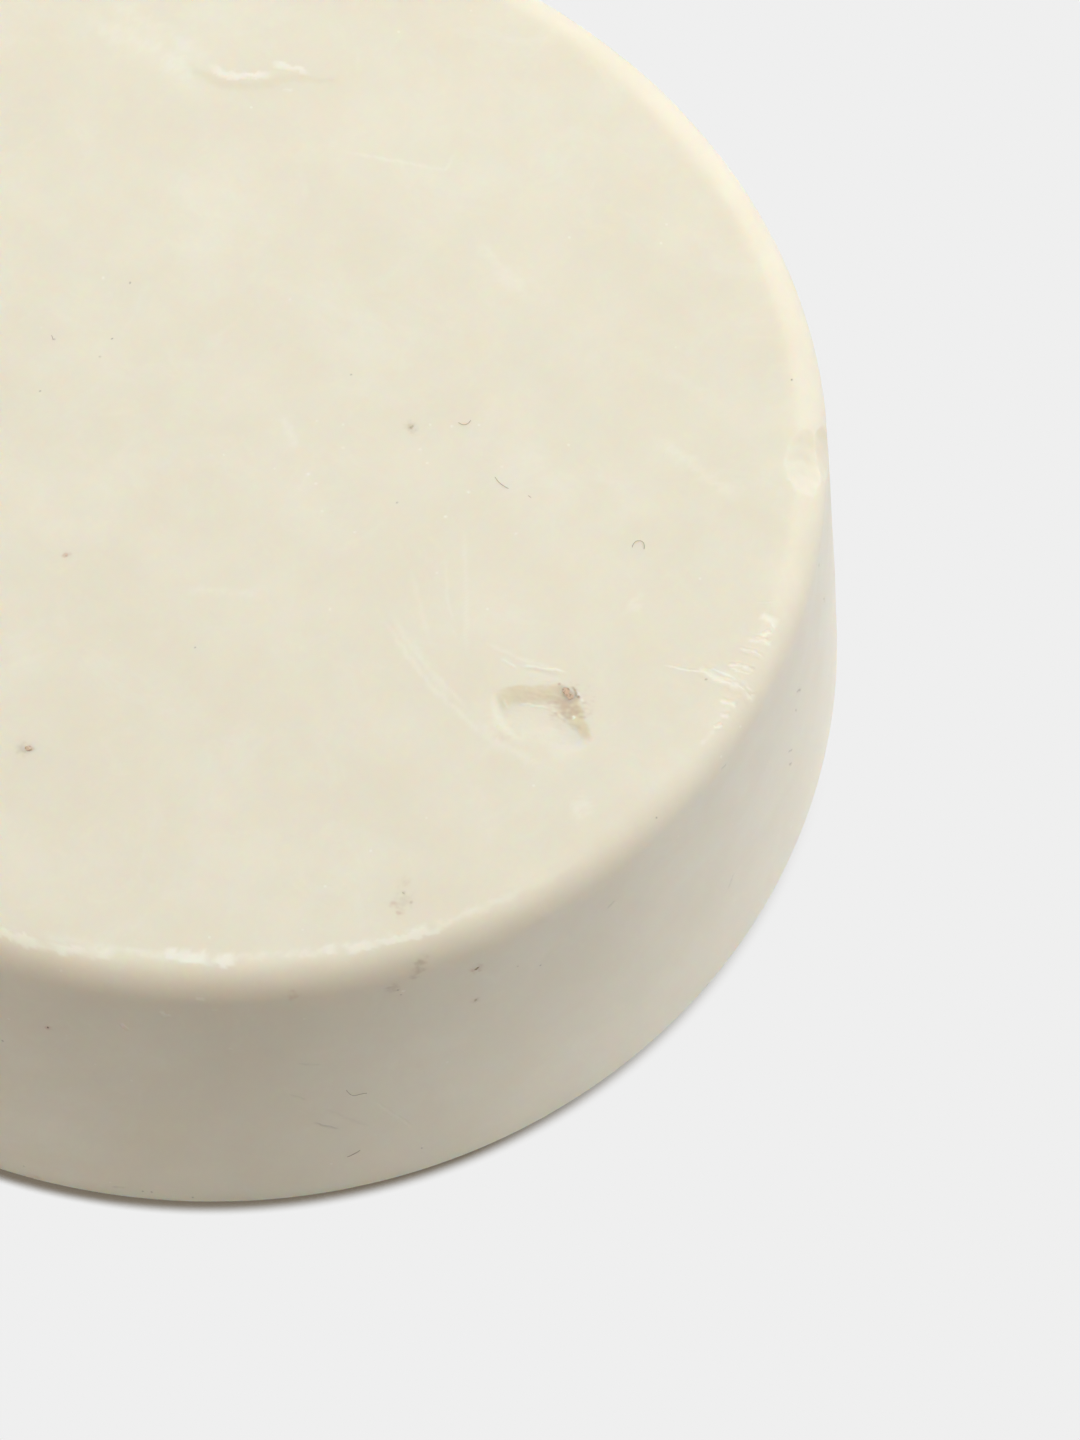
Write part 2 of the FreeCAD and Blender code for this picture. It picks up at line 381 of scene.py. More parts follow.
SIDE_NICKS = [
    (over_side((-94.6, 19.2), (-93.9, 18.6)), 0.12, -0.05, 0.9),
    (over_side((-91.1, 21.0), (-90.3, 20.3)), 0.16, -0.04, 0.5),
    (over_side((-90.6, 20.3), (-90.1, 20.7)), 0.1, -0.03, 0.6),
    ([on_rim(-87.9, 67), on_rim(-86.8, 69)], 0.12, -0.02, 0.5),
    (over_side((-86.4, 21.35), (-85.6, 21.35)), 0.08, -0.02, 0.4),
    (over_side((-84.8, 17.1), (-84.2, 17.05)), 0.08, -0.02, 0.5),
    (over_side((-99.6, 16.95), (-99.4, 16.85)), 0.08, -0.02, 0.5),
    (over_side((-68.6, 20.7), (-68.3, 20.55)), 0.07, -0.02, 0.8),
]
SIDE_SCRATCHES = [
    (over_side((-79.2, 11.8), (-77.4, 10.8)), 0.1, -0.02, -0.1),
    (over_side((-76.9, 8.3), (-74.3, 7.0)), 0.1, -0.03, -0.2),
    (over_side((-76.4, 9.9), (-71.3, 6.5)), 0.16, -0.015, -0.06),
    (over_side((-71.6, 9.7), (-67.3, 5.2)), 0.1, -0.025, 0.2),
    (over_side((-73.6, 3.9), (-72.5, 4.2)), 0.1, -0.02, -0.15),
    (over_side((-78.5, 15.0), (-76.0, 14.4)), 0.12, -0.015, -0.1),
    (over_side((-47.2, 18.9), (-46.0, 19.2)), 0.12, -0.02, -0.15),
    (over_side((-30.9, 8.0), (-29.8, 9.1)), 0.14, -0.02, -0.15),
    ([on_rim(-31.4, 78), on_rim(-30.4, 83)], 0.1, -0.02, -0.2),
    (over_side((-18.6, 11.7), (-17.5, 10.9)), 0.1, -0.03, -0.35),
    (over_side((-18.6, 10.3), (-17.9, 9.7)), 0.1, -0.03, -0.35),
    (over_side((-16.1, 16.1), (-14.6, 14.8)), 0.1, -0.03, -0.4),
    (over_side((-16.6, 14.5), (-16.0, 13.9)), 0.1, -0.03, -0.3),
    (over_side((-5.5, 15.6), (-4.8, 14.4)), 0.1, -0.03, -0.4),
    (over_side((-6.9, 21.0), (-6.5, 20.4)), 0.1, -0.03, -0.3),
    (over_side((-95.0, 1.2), (-93.6, 1.35)), 0.12, -0.03, -0.15),
    (over_side((-101.9, 0.8), (-101.4, 0.5)), 0.15, -0.05, -0.2),
]
LINES = FOLD_LINES + NAIL_LINES + CREASES + RIM_SCUFFS + CREST_SHEEN_AND_SMEARS + SIDE_NICKS + SIDE_SCRATCHES
print("lines in all:", len(LINES))

# %% [markdown]
# A *chip* is where a piece broke off the rim and left a hollow floor. The one on the
# right is two cuts that meet in a ridge. Each has a place, a depth, the radius of
# its hollow, and how much whiter the soap in it is.

# %% Chips
CHIPS = [
    (on_rim(1.7, 22), 0.34, 7.0, 0.1),
    (on_rim(3.4, 62), 0.25, 7.5, 0.06),
]
print("chips:", [depth for _, depth, _, _ in CHIPS], "mm deep")

# %% [markdown]
# *Stains* are soap coloured by a grain in it or just under it, and *dust* is the
# darkest and smallest of them, a tenth of a millimetre across. *Flecks* are crumbs
# of white soap, about twice that size.

# %% Stains, dust and flecks
STAINS = [
    (on_top(10.64, 1.44), 0.42, "brown_stain", 0.22),
    (on_top(-7.5, -7.76), 0.26, "red_stain", 0.35),
    (on_top(-8.95, -19.62), 0.4, "brown_stain", 0.25),
    (on_top(-8.6, -19.58), 0.3, "red_stain", 0.4),
    # Round the crumb in the nail mark: its stain, and on the right-hand part of the mark's wall partly
    # painted shade
    (on_top(20.15, -14.85), 1.15, "red_stain", 0.24),
    (on_top(20.6, -15.2), 0.8, "brown_stain", 0.12),
    (on_top(19.6, -13.65), 0.1, "red_stain", 0.7),
    (on_top(20.5, -13.95), 0.12, "red_stain", 0.6),
    (on_top(20.65, -14.35), 0.09, "brown_stain", 0.7),
    (on_top(16.75, -17.05), 0.45, "red_stain", 0.12),
    (on_top(12.02, -26.84), 0.16, "brown_stain", 0.5),
    (on_top(12.43, -27.35), 0.14, "brown_stain", 0.35),
    (on_top(11.99, -26.2), 0.4, "brown_stain", 0.1),
    (on_top(11.45, -27.5), 0.25, "red_stain", 0.25),
    (on_top(11.75, -27.95), 0.28, "red_stain", 0.25),
    (on_top(12.0, -27.3), 0.6, "brown_stain", 0.12),
    (on_side(-61.2, 20.3), 0.42, "red_stain", 0.35),
    (on_side(-61.3, 16.85), 0.3, "brown_stain", 0.3),
    (on_rim(-66.6, 56), 0.42, "brown_stain", 0.3),
    (on_rim(-67.0, 68), 0.38, "brown_stain", 0.3),
    (on_rim(-67.4, 82), 0.34, "brown_stain", 0.28),
    (on_side(-69.5, 21.3), 0.5, "brown_stain", 0.28),
    (on_side(-101.3, 17.3), 0.26, "red_stain", 0.4),
    (on_rim(-78.8, 68), 0.4, "red_stain", 0.22),
]
DUST = [
    on_top(-5.22, 9.19), on_top(-6.53, 4.5), on_top(-5.96, 5.66), on_top(-9.1, 5.4),
    on_top(-9.63, 2.16), on_rim(10.7, 4), on_top(7.18, 4.4), on_top(-0.15, -12.89),
    on_top(10.17, -3.27), on_top(27.48, -12.8), on_side(3.4, 5.64), on_side(-5.1, 15.0),
    on_side(-5.2, 6.1), on_side(-6.7, 20.8), on_rim(-39.8, 43), on_side(-69.0, 20.9),
    on_side(-68.7, 20.3), on_side(-57.0, 18.5), on_side(-54.6, 17.3), on_side(-66.7, 2.75),
    on_side(-103.0, 1.5), on_side(-92.1, 1.1), on_side(-91.3, 1.1), on_side(-87.6, 0.75),
    on_side(-105.5, 14.5),
]
FLECKS = over_top(
    (5.50, 1.43), (6.94, 1.29), (7.03, -0.14), (12.84, 1.65), (11.66, -0.70), (15.72, -0.64),
    (11.21, 0.10), (14.0, -2.35), (5.7, -2.43), (5.26, -1.89), (8.0, -5.25), (16.71, -4.67),
    (6.15, -4.09), (12.83, -3.92), (-6.71, 9.39), (3.56, 8.79), (6.96, -10.05), (12.6, -7.4),
)
FLECK_SIZE = 0.11
DUST_SIZE = 0.065
print("stains, dust and flecks:", len(STAINS), len(DUST), len(FLECKS))

# %% [markdown]
# ## Finer faces only where they are needed
#
# A nail mark is a few millimetres long and its wall is a millimetre wide, so faces
# of half a millimetre are too coarse there. Subdividing the whole cake three times
# would make sixty-four times as many faces. Instead, only the faces near a mark are
# subdivided, each mark as often as its smallest detail needs, and the count stays
# modest.

# %% Refine near the marks
def stations(path, step=0.25):
    """Points along a path, about a step apart."""
    for (start, _), (end, _) in zip(path, path[1:]):
        for share in np.linspace(0, 1, 2 + int(np.linalg.norm(end - start) / step)):
            yield start * (1 - share) + end * share


def places_to_refine():
    """Rows of a point, the reach round it, and how many times faces there are cut in four."""
    rows = [(point, 1.5, 3) for point in stations(NAIL_MARK["path"][2:-2])]
    rows += [(point, 0.7, 2) for point in stations(FOLD_MARK["path"][1:-1])]
    rows += [((*mark["centre"], THICKNESS), mark["spread"][1] * 0.8, 1) for mark in PRESSED_EDGES]
    for path, width, _, _ in LINES:
        finest = 1 if width > 0.25 else 2 if width > 0.13 else 3
        rows += [(point, 1.6 * width, finest) for point in stations(path)]
    rows += [(point, 1.8, 2) for (point, _), _, _, _ in CHIPS]
    rows += [(point, 1.2 * reach, 3 if reach < 0.3 else 2) for (point, _), reach, _, _ in STAINS]
    rows += [(point, DUST_SIZE, 3) for point, _ in DUST]
    rows += [(point, FLECK_SIZE, 3) for point, _ in FLECKS]
    return rows


def refine(mesh, rows, margin):
    """Cuts every face whose middle is near one of the rows' points into four."""
    middles = np.array([face.calc_center_median() for face in mesh.faces])
    wanted = np.zeros(len(middles), dtype=bool)
    for point, reach, _ in rows:
        wanted |= ((middles - point) ** 2).sum(axis=1) < (reach + margin) ** 2
    mesh.faces.ensure_lookup_table()
    edges = {edge for number in np.flatnonzero(wanted) for edge in mesh.faces[number].edges}
    bmesh.ops.subdivide_edges(mesh, edges=list(edges), cuts=1, use_grid_fill=True)


# The margin is about the length of an edge at each level, so that no face is passed over
MARGINS = {1: 0.45, 2: 0.22, 3: 0.11}
for level, margin in MARGINS.items():
    refine(blank, [row for row in places_to_refine() if row[2] >= level], margin)
many_sided = [face for face in blank.faces if len(face.verts) > 4]
bmesh.ops.triangulate(blank, faces=many_sided)
print("refined:", len(blank.verts), "points,", sum(len(face.verts) - 2 for face in blank.faces), "triangles")

# %% [markdown]
# ## Back on to the turned form
#
# A new point in the middle of an edge lies on a straight line, not on the round. So
# each point is put back on the exact half section before anything is pressed into
# it. That also gives the exact direction that the skin faces at each point.

# %% Snap to the half section
def turned_skin(points):
    """Nearest places on the turned form, and the directions that the skin faces there."""
    reach = np.hypot(points[:, 0], points[:, 1])
    heading = points[:, :2] / np.maximum(reach, 1e-9)[:, None]
    height = points[:, 2]
    section = np.stack([reach, height], axis=1)
    facing = np.zeros_like(section)

    # The side, and then whatever lies beyond its two ends
    off = (section - np.array([BASE_RADIUS, 0.0])) @ SIDE_OUT
    side = section - off[:, None] * SIDE_OUT
    facing[:] = SIDE_OUT
    result = side.copy()

    above_side = height > RIM_HEIGHT + RIM_RADIUS * SIDE_OUT[1]
    below_side = height < FOOT_RADIUS + FOOT_RADIUS * SIDE_OUT[1]
    for centre, radius, beyond in (
        (np.array([RIM_CENTRE, RIM_HEIGHT]), RIM_RADIUS, above_side),
        (np.array([FOOT_CENTRE, FOOT_RADIUS]), FOOT_RADIUS, below_side),
    ):
        spoke = section - centre
        spoke /= np.maximum(np.linalg.norm(spoke, axis=1), 1e-9)[:, None]
        result[beyond] = (centre + radius * spoke)[beyond]
        facing[beyond] = spoke[beyond]

    for near_flat, limit, level, way in (
        (height > RIM_HEIGHT, RIM_CENTRE, THICKNESS, 1.0),
        (height < FOOT_RADIUS, FOOT_CENTRE, 0.0, -1.0),
    ):
        inside = near_flat & (reach <= limit + 1e-6)
        result[inside] = np.stack([reach[inside], np.full(inside.sum(), level)], axis=1)
        facing[inside] = (0.0, way)

    def around(pair):
        return np.column_stack([heading * pair[:, :1], pair[:, 1]])

    return around(result), around(facing)


cut_points = np.array([vertex.co for vertex in blank.verts])
skin, facing = turned_skin(cut_points)
print("off the blank by at most", round(float(np.abs(skin - cut_points).max()), 3), "mm")

# %% [markdown]
# ## The relief
#
# The skin is moved along its own direction, by an amount worked out for all points
# at once. A cast cake is never quite flat: it shrinks as it cools, so the top has a
# slow wave of a few hundredths of a millimetre, and a satin skin shows even that.
# The wave is a sum of a few plane waves with random directions, which costs little
# and is the same on every run because the random numbers have a seed.

# %% Relief tools
rng = np.random.default_rng(7)


def soft_noise(points, size, waves=24):
    """Smooth random values of about -1 to 1 that change over roughly this size."""
    ways = rng.normal(size=(waves, 3))
    ways *= (2 * math.pi / size) * rng.uniform(0.6, 1.4, (waves, 1)) / np.linalg.norm(ways, axis=1)[:, None]
    starts = rng.uniform(0, 2 * math.pi, waves)
    total = np.zeros(len(points))
    for way, start in zip(ways, starts):
        total += np.sin(points @ way + start)
    return total * math.sqrt(2 / waves) / 1.6


def ease(value):
    """0 below 0, 1 above 1, and a smooth step between."""
    value = np.clip(value, 0, 1)
    return value * value * (3 - 2 * value)


def bump(value):
    """1 at 0, and smoothly to nothing beyond 1."""
    return np.exp(-2.5 * value * value)


def along_path(points, facing, path):
    """Distance to a path, with the walker's left side positive, and the share of its length."""
    best = np.full(len(points), 1e9)
    side = np.ones(len(points))
    share = np.zeros(len(points))
    steps = [np.linalg.norm(end - start) for (start, _), (end, _) in zip(path, path[1:])]
    total = sum(steps)
    gone = 0.0
    for (start, _), (end, _), step in zip(path, path[1:], steps):
        way = (end - start) / step
        offset = points - start
        travel = np.clip(offset @ way, 0, step)
        off = offset - travel[:, None] * way
        distance = np.linalg.norm(off, axis=1)
        nearer = distance < best
        best[nearer] = distance[nearer]
        left = np.cross(facing, way)
        side[nearer] = np.where((off * left).sum(axis=1) >= 0, 1.0, -1.0)[nearer]
        share[nearer] = ((gone + travel) / total)[nearer]
        gone += step
    return best * side, share


push = 0.045 * soft_noise(skin, 27) + 0.016 * soft_noise(skin, 8) + 0.004 * soft_noise(skin, 2.2)
push *= ease((skin[:, 2] - 0.3) / 1.5)
ragged = soft_noise(skin, 0.9)
ragged_fine = soft_noise(skin, 0.35)
print("waves of the cast skin: at most", round(float(np.abs(push).max()), 3), "mm")

# %% [markdown]
# A pressed edge is built from two curves of the distance to its path: the wall goes
# down in a soft-ended ramp, and the floor comes back up over its run out. A little
# noise added to the distance makes the edge ragged, as torn soap is. The steep part
# is soap without its pale bloom, so it is also kept as a channel for the material;
# its deeper cream there is also partly painted shade on the wall.

# %% Pressed edges in the relief
# Channels: whiter soap, partly painted highlight and sheen; deeper cream of soap without its bloom, partly
# painted shade; and dirt
fresh_and_sheen = np.zeros(len(skin))
bare_and_shade = np.zeros(len(skin))
dirt = np.zeros(len(skin))

# The mark fades in the outer quarter of its oval, and its wall widens from a narrow start
FADE_FROM = 0.76
NARROWEST = 0.15
WIDENS_AT = 0.14
WIDENS_OVER = 0.25

for mark in PRESSED_EDGES:
    off, share = along_path(skin, facing, mark["path"])
    from_centre = (skin[:, :2] - mark["centre"]) / mark["spread"]
    extent = 1 - ease((np.linalg.norm(from_centre, axis=1) - FADE_FROM) / (1 - FADE_FROM))
    extent *= facing[:, 2] > 0.99
    off = off + 0.05 * ragged + 0.02 * ragged_fine
    widening = extent * ease((share - WIDENS_AT) / WIDENS_OVER)
    width = mark["wall"] * (NARROWEST + (1 - NARROWEST) * widening)
    wall = 0.8 * np.clip(off / width, 0, 1) + 0.2 * ease(off / width)
    left_over = 1 - ease((off - width) / mark["run_out"])
    push -= mark["depth"] * extent * wall * left_over
    # The steep wall's deeper cream is partly painted shade
    steep = ease(off / 0.18) * ease((width - off) / 0.35)
    bare_and_shade = np.maximum(bare_and_shade, mark["bare_and_shade"] * extent * steep)
print("points on bare walls:", int((bare_and_shade > 0.05).sum()))

# %% [markdown]
# Lines rise or sink in a smooth profile, and fade towards their ends. A furrow also
# throws up a small burr on each side. A strong white line has a hard edge, a weak
# one has a soft edge.

# %% Lines in the relief
HARD_ENDS = 0.52
HARD_EDGE = 0.45
BURR = 0.4
patchy = ease(0.9 + 0.45 * soft_noise(skin, 1.3))

for path, width, height, white in LINES:
    off, share = along_path(skin, facing, path)
    fade = 0.1 if white > HARD_ENDS else 0.25
    ends = ease(share / fade) * ease((1 - share) / fade)
    off = np.abs(off + width * (0.3 * ragged + 0.25 * ragged_fine))
    push += height * ends * bump(off / width)
    if height < 0:
        push -= BURR * height * ends * bump((off - 1.6 * width) / (0.6 * width))
    edge = ease((1.15 - off / width) / 0.4) if white > HARD_EDGE else bump(off / (1.1 * width))
    shown = ends * patchy * edge
    fresh_and_sheen = np.maximum(fresh_and_sheen, white * shown)
    dirt = np.maximum(dirt, -white * shown)
print("whitest line:", round(float(fresh_and_sheen.max()), 2), "dirtiest:", round(float(dirt.max()), 2))

# %% [markdown]
# A chip is a hollow cut. For each point near it the cut's floor is worked out below
# the skin, and the point goes down to it if it stands above it. The floor of a fresh
# chip is white, and of a less white one it is a deeper cream.

# %% Chips in the relief
# A cut reaches this far at most, and only skin that faces about the same way
CUT_REACH = 3.5
LEAST_FACING = 0.3

for (point, out), depth, hollow, white in CHIPS:
    round_rim = np.array([-out[1], out[0], 0.0])
    round_rim /= np.linalg.norm(round_rim)
    offset = skin + push[:, None] * facing - point
    cut_floor = (offset @ round_rim) ** 2 / (2 * hollow) - depth * (1 + 0.05 * ragged)
    above = (offset @ out - cut_floor) / np.clip(facing @ out, LEAST_FACING, 1)
    above[(np.linalg.norm(offset, axis=1) > CUT_REACH) | (facing @ out < LEAST_FACING)] = 0
    above = np.maximum(above, 0)
    push = push - above
    cut = ease(above / 0.02)
    fresh_and_sheen = np.maximum(fresh_and_sheen * (1 - cut), white * cut)
    bare_and_shade = np.maximum(bare_and_shade * (1 - cut), max(0.25 - 2 * white, 0) * cut)
print("relief, mm: lowest", round(float(push.min()), 3), "highest", round(float(push.max()), 3))

# %% [markdown]
# ## Stains, dust and flecks on the skin
#
# Stains are painted on the points as channels, which the soap material reads. Point
# values stay on the mesh, so they look the same from every side.

# %% Channels for the material
def painted(kind):
    """A channel of all the stains of one kind, from 0 to 1."""
    values = np.zeros(len(skin))
    for (point, _), reach, stain, strength in STAINS:
        if stain == kind:
            distance = np.linalg.norm(skin - point, axis=1) / reach + 0.35 * ragged_fine
            values = np.maximum(values, strength * bump(np.clip(distance, 0, None)))
    return values


def dotted(places, size):
    """A channel of small roundish dots, no two quite as strong."""
    values = np.zeros(len(skin))
    for point, _ in places:
        distance = np.linalg.norm(skin - point, axis=1) / size
        values = np.maximum(values, rng.uniform(0.5, 1.0) * bump(distance * (1 + 0.2 * ragged_fine)))
    return values


channels = {
    "fresh_and_sheen": np.maximum(fresh_and_sheen, dotted(FLECKS, FLECK_SIZE)),
    "bare_and_shade": bare_and_shade,
    "dust": np.maximum(dirt, dotted(DUST, DUST_SIZE)),
    "red_stain": painted("red_stain"),
    "brown_stain": painted("brown_stain"),
}
print("channels, strongest:", {name: round(float(values.max()), 2) for name, values in channels.items()})

# %% [markdown]
# The flecks also stand up a little from the skin, as crumbs do. Then the points move
# to their places, in metres, and the mesh becomes a piece that rides on the one body
# of the puck and takes the place of the plain CAD cake.

# %% The finished cake
FLECK_HEIGHT = 0.02


def put_on_root(name, mesh):
    """Links a mesh as a piece that rides on the one body."""
    piece = bpy.data.objects.new(name, mesh)
    bpy.context.scene.collection.objects.link(piece)
    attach(piece, "root")
    return piece


push += FLECK_HEIGHT * dotted(FLECKS, FLECK_SIZE)
for vertex, moved in zip(blank.verts, (skin + push[:, None] * facing) * MM):
    vertex.co = moved
cake_mesh = bpy.data.meshes.new("cast_soap")
blank.to_mesh(cake_mesh)
blank.free()
cake_mesh.shade_smooth()
for name, values in channels.items():
    layer = cake_mesh.attributes.new(name, "FLOAT", "POINT")
    layer.data.foreach_set("value", values.astype(np.float32))
cake = put_on_root("cast_soap", cake_mesh)
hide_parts("soap_cake")
print("cake:", len(cake_mesh.vertices), "points,", len(cake_mesh.polygons), "faces")

# %% [markdown]
# ## Colours and nodes
#
# A colour is written as a hex value, the way a paint chart or a design tool gives
# it. Blender works with linear light, so one function turns a hex value to that.
# One more function adds a shader node with its settings and its links.

# %% Colour and node helpers
def paint(hex_value):
    """Linear colour of an sRGB hex value."""
    parts = [int(hex_value[k : k + 2], 16) / 255 for k in (1, 3, 5)]
    return (*[part / 12.92 if part <= 0.04045 else ((part + 0.055) / 1.055) ** 2.4 for part in parts], 1.0)


def add_node(tree, kind, inputs=None, **settings):
    """Adds a node; a value of inputs is either a number or colour, or a socket to link from."""
    made = tree.nodes.new(kind)
    for name, value in settings.items():
        setattr(made, name, value)
    for socket, value in (inputs or {}).items():
        if isinstance(value, bpy.types.NodeSocket):
            tree.links.new(value, made.inputs[socket])
        else:
            made.inputs[socket].default_value = value
    return made


def new_material(name):
    """An empty material, and the node tree to build it in."""
    material = bpy.data.materials.new(name)
    material.use_nodes = True
    material.node_tree.nodes.clear()
    return material, material.node_tree


def per(size):
    """Texture scale whose features are about this many millimetres across."""
    return 1 / (size * MM)


print("a cream of #E6E0CD in linear light:", [round(part, 3) for part in paint("#E6E0CD")[:3]])

# %% [markdown]
# ## Soap
#
# Hard shaving soap is stearate crystals in a little water and glycerine. Light
# goes a millimetre or so into it before it comes out again, so shadows in small
# dents are soft and warm, and thin edges glow. An image of real soap would slide or
# stretch on the round of the rim. Here every pattern is worked out from the place in
# space instead, at a size in millimetres, so it runs over the rim without a seam.
# These small functions keep the recipe short.

# %% Patterns for the soap
soap, tree = new_material("cast_stearic_soap")
place = add_node(tree, "ShaderNodeTexCoord").outputs["Object"]


def cloud(size, detail=2.0, roughness=0.5, position=place, distortion=0.0):
    """Noise whose features are about this many millimetres across."""
    inputs = {"Vector": position, "Scale": per(size), "Detail": detail}
    inputs |= {"Roughness": roughness, "Distortion": distortion}
    return add_node(tree, "ShaderNodeTexNoise", inputs).outputs["Fac"]


def channel(name):
    """A channel that was painted on the points."""
    return add_node(tree, "ShaderNodeAttribute", attribute_name=name).outputs["Fac"]


def reach(value, low, high, to_low=0.0, to_high=1.0):
    """Spreads the stretch from low to high over another one, and clamps it."""
    inputs = {"Value": value, "From Min": low, "From Max": high, "To Min": to_low, "To Max": to_high}
    return add_node(tree, "ShaderNodeMapRange", inputs).outputs["Result"]


def blend(amount, first, second):
    """A mix of two colours: the first at 0, the second at 1."""
    mixed = add_node(tree, "ShaderNodeMix", data_type="RGBA")
    for socket, value in ((0, amount), (6, first), (7, second)):
        if isinstance(value, bpy.types.NodeSocket):
            tree.links.new(value, mixed.inputs[socket])
        else:
            mixed.inputs[socket].default_value = value
    return mixed.outputs[2]


def calc(operation, first, second):
    """One sum on two values."""
    return add_node(tree, "ShaderNodeMath", {0: first, 1: second}, operation=operation).outputs[0]


print("scale of an 8 mm pattern:", round(per(8.0), 1))

# %% [markdown]
# The colour is a warm cream that is a little uneven. It is laid on in thin coats, as
# a painter would: three creams in patches, then paler crystals, then the bloom, and at
# last what handling left, which comes from the channels.

# %% Colour of cast stearic soap
# Cream, a little deeper in patches of about 8 mm, and mottled again at 2 mm
cream = blend(reach(cloud(8.0), 0.35, 0.65), paint("#E6E0CD"), paint("#E8E3D1"))
cream = blend(reach(cloud(2.2, 3.0), 0.35, 0.7, 0.0, 0.5), cream, paint("#E4DDC9"))

# Stearate crystals, about 0.15 mm, few and far between: paler specks, partly painted glints
crystals = add_node(tree, "ShaderNodeTexVoronoi", {"Vector": place, "Scale": per(2.4)})
crystal_glint = reach(crystals.outputs["Distance"], 0.045, 0.02)
cream = blend(calc("MULTIPLY", crystal_glint, 0.5), cream, paint("#F4F2E6"))

# A thin whitish bloom in wisps of a few millimetres
wisps = reach(cloud(4.0, 6.0, 0.7, distortion=1.2), 0.52, 0.78, 0.0, 0.3)
cream = blend(wisps, cream, paint("#EFECDE"))

# Soap without its bloom is a deeper cream, and on the walls of the marks partly painted shade; squeezed or
# rubbed soap is whiter, and on the lips, the crest and its smears partly a painted highlight
fresh_and_sheen_share = channel("fresh_and_sheen")
cream = blend(channel("bare_and_shade"), cream, paint("#DDCFAC"))
cream = blend(fresh_and_sheen_share, cream, paint("#F5F3E6"))
cream = blend(channel("red_stain"), cream, paint("#B9806A"))
cream = blend(channel("brown_stain"), cream, paint("#94795A"))
cream = blend(channel("dust"), cream, paint("#4F3D2C"))
print("colour:", len(tree.nodes), "nodes")

# %% [markdown]
# The skin, where it lay against the mould, is satin: not glossy, but it gives a wide
# soft sheen. The side slid out of the mould, so it is smoother than the open top.

# %% Skin of cast stearic soap
# Rougher and smoother patches, smoother below the rim's crest; rubbed soap has one even finish
height = add_node(tree, "ShaderNodeSeparateXYZ", {0: place}).outputs["Z"]
CREST_HEIGHT = THICKNESS - 0.3
moulded = reach(height, CREST_HEIGHT * MM, RIM_HEIGHT * MM, 0.0, 0.14)
satin = calc("SUBTRACT", reach(cloud(5.0, 3.0), 0.3, 0.7, 0.48, 0.56), moulded)
rubbed = add_node(tree, "ShaderNodeMix", {0: fresh_and_sheen_share, 2: satin, 3: 0.46}).outputs[0]

# Crystals leave a grain of about 0.35 mm in the skin, only microns high
grain_inputs = {"Height": cloud(0.35, 3.0), "Strength": 0.35, "Distance": 0.02 * MM}
grain = add_node(tree, "ShaderNodeBump", grain_inputs).outputs["Normal"]

skin_shader = add_node(
    tree,
    "ShaderNodeBsdfPrincipled",
    {
        "Base Color": cream,
        "Roughness": rubbed,
        "IOR": 1.46,
        "Subsurface Weight": 1.0,
        "Subsurface Radius": (1.5, 0.9, 0.5),
        "Subsurface Scale": 1.0 * MM,
        "Normal": grain,
    },
)
add_node(tree, "ShaderNodeOutputMaterial", {"Surface": skin_shader.outputs[0]})
cake_mesh.materials.append(soap)
print("soap:", len(tree.nodes), "nodes")

# %% [markdown]
# ## Grains
#
# A few grains of something darker were in the soap when it was cast. They are
# crumbs, not beads: each is a small ball pushed out of shape by noise, half sunk in
# the skin, so that only a low uneven back shows.

# %% One crumb
CRUMB_LEVEL = 3


def crumb(mesh, place, length, width, height, bearing, sunk):
    """Adds one crumb to a bmesh: sizes in millimetres, bearing in degrees in the skin's plane."""
    point, out = place
    made = bmesh.ops.create_icosphere(mesh, subdivisions=CRUMB_LEVEL, radius=1.0)["verts"]
    across = Vector((-out[1], out[0], 0.0)) if abs(out[2]) < 0.9 else Vector((1.0, 0.0, 0.0))
    up = Vector(out).normalized()
    across = (across - across.project(up)).normalized()
    along = up.cross(across)
    turn = math.radians(bearing)
    first = math.cos(turn) * across + math.sin(turn) * along
    second = up.cross(first)
    seed = Vector(point) * 3.7
    for vertex in made:
        ball = vertex.co.copy()
        swell = 1 + 0.35 * noise.noise(ball * 1.3 + seed) + 0.18 * noise.noise(ball * 3.1 + seed)
        ball *= swell
        local = first * (ball.x * length / 2)
        local = local + second * (ball.y * width / 2)
        local = local + up * (ball.z * height / 2 - sunk)
        vertex.co = (Vector(point) + local) * MM
    return made


print("a crumb has", 20 * 4 ** (CRUMB_LEVEL - 1), "faces")

# %% [markdown]
# Each row gives a crumb's place, its length, width and height, its bearing, how far
# it is sunk, and how dark it is from 0 to 1. The reddish one in the nail mark is by
# far the largest.

# %% The grains of both kinds
RED_GRAINS = [
    (on_top(-7.5, -7.76), 0.36, 0.26, 0.2, 10, 0.07, 0.1),
    (on_top(-8.66, -19.6), 0.42, 0.32, 0.24, -15, 0.09, 0.25),
    (on_top(20.2, -14.03), 1.45, 1.1, 0.3, -25, 0.1, 0.3),
]
BROWN_GRAINS = [
    (on_top(10.64, 1.44), 0.5, 0.38, 0.18, 30, 0.07, 0.1),
    (on_top(12.0, -26.8), 0.26, 0.2, 0.2, 60, 0.05, 0.9),
    (on_side(-61.2, 20.34), 0.46, 0.34, 0.28, 20, 0.1, 0.75),
    (on_side(-61.35, 16.92), 0.26, 0.2, 0.18, 50, 0.06, 0.2),
    (on_side(-101.3, 17.3), 0.3, 0.24, 0.22, 0, 0.07, 0.95),
]


